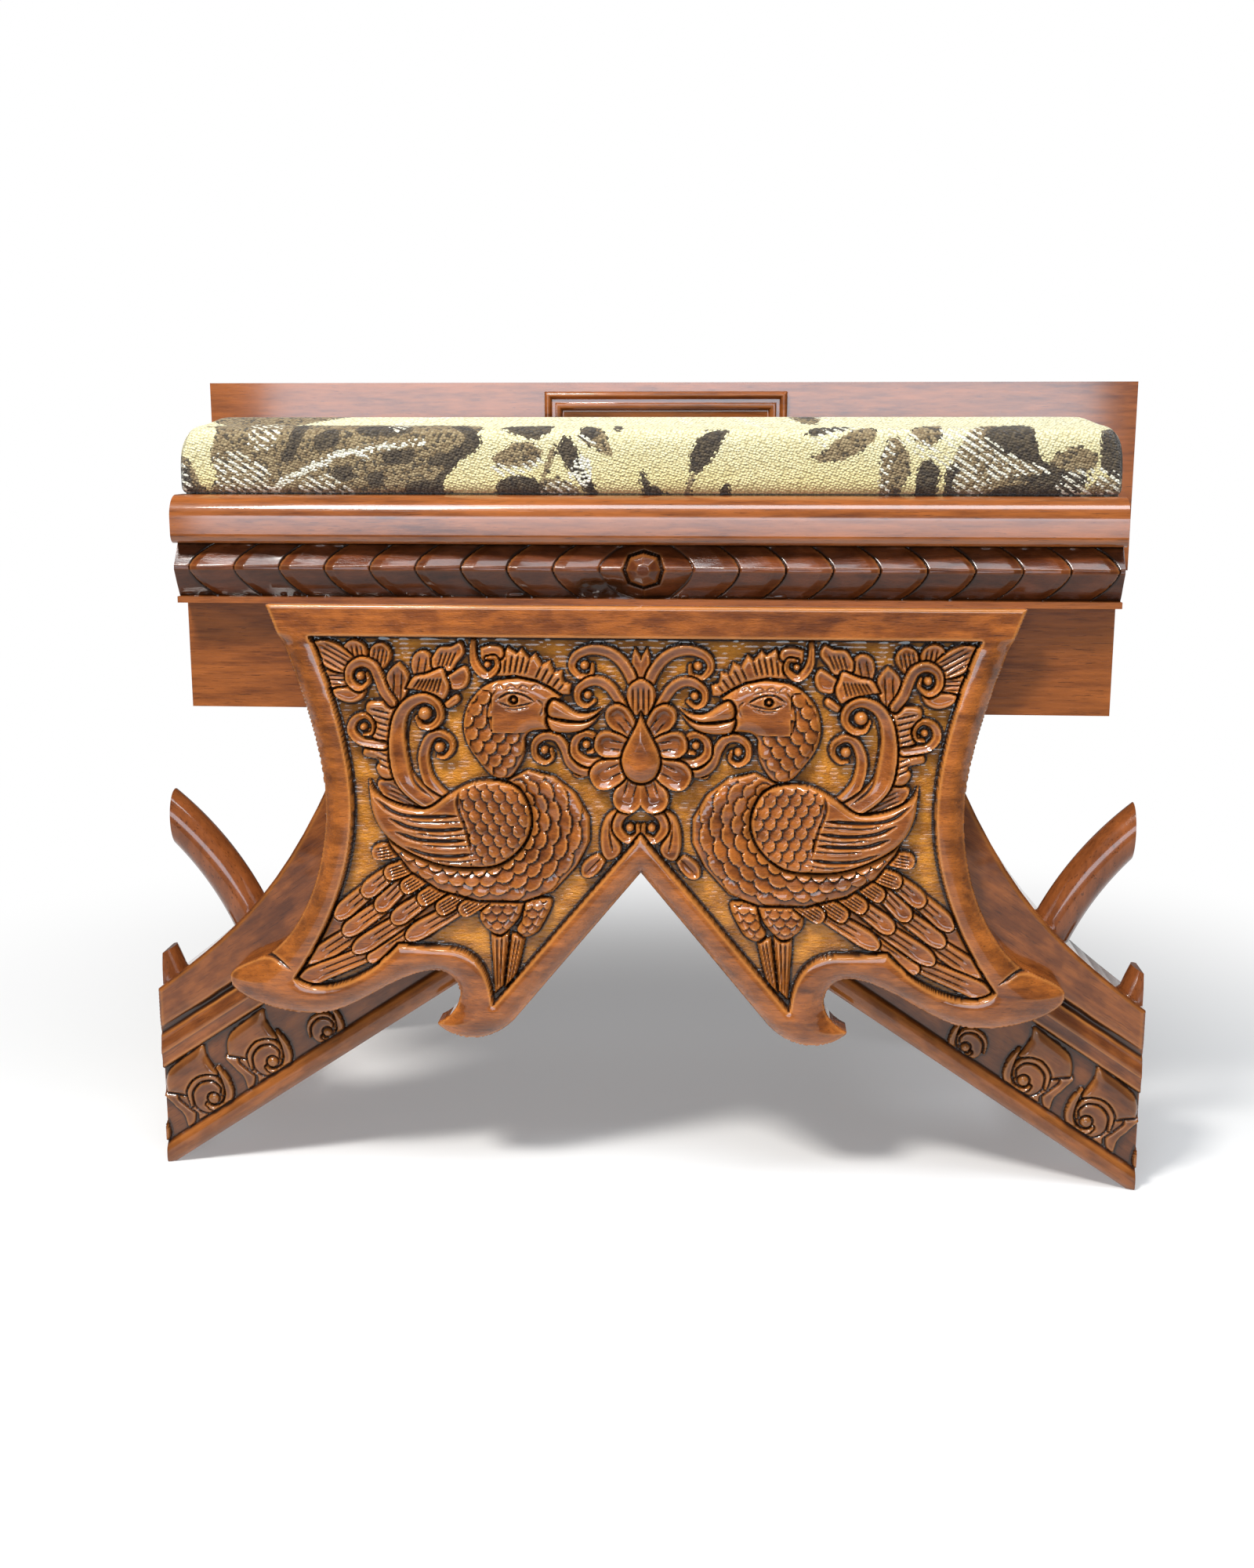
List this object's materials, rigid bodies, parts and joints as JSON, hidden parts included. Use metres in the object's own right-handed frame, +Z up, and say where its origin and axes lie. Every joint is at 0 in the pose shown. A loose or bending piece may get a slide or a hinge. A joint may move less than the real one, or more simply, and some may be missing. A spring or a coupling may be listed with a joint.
{
  "type": "carved wooden trestle seat section",
  "caption": "Carved hardwood trestle seat section: bird plaque on crossed curved legs, rope-carved seat rail, round bent rods, low back board and drop-in floral cushion.",
  "frame": {"origin": "middle of the footprint, on the surface that the four feet stand on", "axes": "+X to the object's own width, seen from the carved front to the right; +Y from the carved front to the back board; +Z up"},
  "size_m": [0.73, 0.34, 0.537],
  "materials": {
    "teak": "glossy orange-brown varnish",
    "carved_teak": "glossy varnish, dark in the carved hollows",
    "hidden_wood": "sawn, unvarnished",
    "plywood": "sanded plywood",
    "floral_fabric": "looped moquette, cream with brown and black flowers",
    "foam": "open-cell cushion foam",
    "dust_cloth": "black non-woven cloth",
    "steel": "plain steel"
  },
  "bodies": {
    "frame": {"front_rail": "teak", "rope_moulding": "carved_teak", "front_apron": "teak", "carved_plaque": "carved_teak", "left_front_leg": "carved_teak", "right_front_leg": "carved_teak", "front_leg_tongue": "hidden_wood", "left_outer_rod": "teak", "right_outer_rod": "teak", "left_inner_rod": "teak", "right_inner_rod": "teak", "left_rear_leg": "teak", "right_rear_leg": "teak", "rear_leg_tongue": "hidden_wood", "left_stretcher": "teak", "right_stretcher": "teak", "left_end_rail": "teak", "right_end_rail": "teak", "rear_rail": "teak", "corner_blocks": "hidden_wood", "front_ledger": "hidden_wood", "rear_ledger": "hidden_wood", "seat_slats": "hidden_wood", "slat_screws": "steel", "plaque_screws": "steel", "rear_leg_screws": "steel", "back_board": "teak", "back_board_screws": "steel", "outer_moulding_frame": "teak", "inner_moulding_frame": "teak"},
    "cushion": {"cushion_board": "plywood", "cushion_foam": "foam", "cushion_cover": "floral_fabric", "cushion_tacks": "steel", "cushion_dust_cover": "dust_cloth"}
  },
  "joints": [
    {"name": "cushion_lift", "type": "slide", "parent": "frame", "child": "cushion", "axis": [0, 0, 1], "range_m": [0, 0.12]}
  ]
}
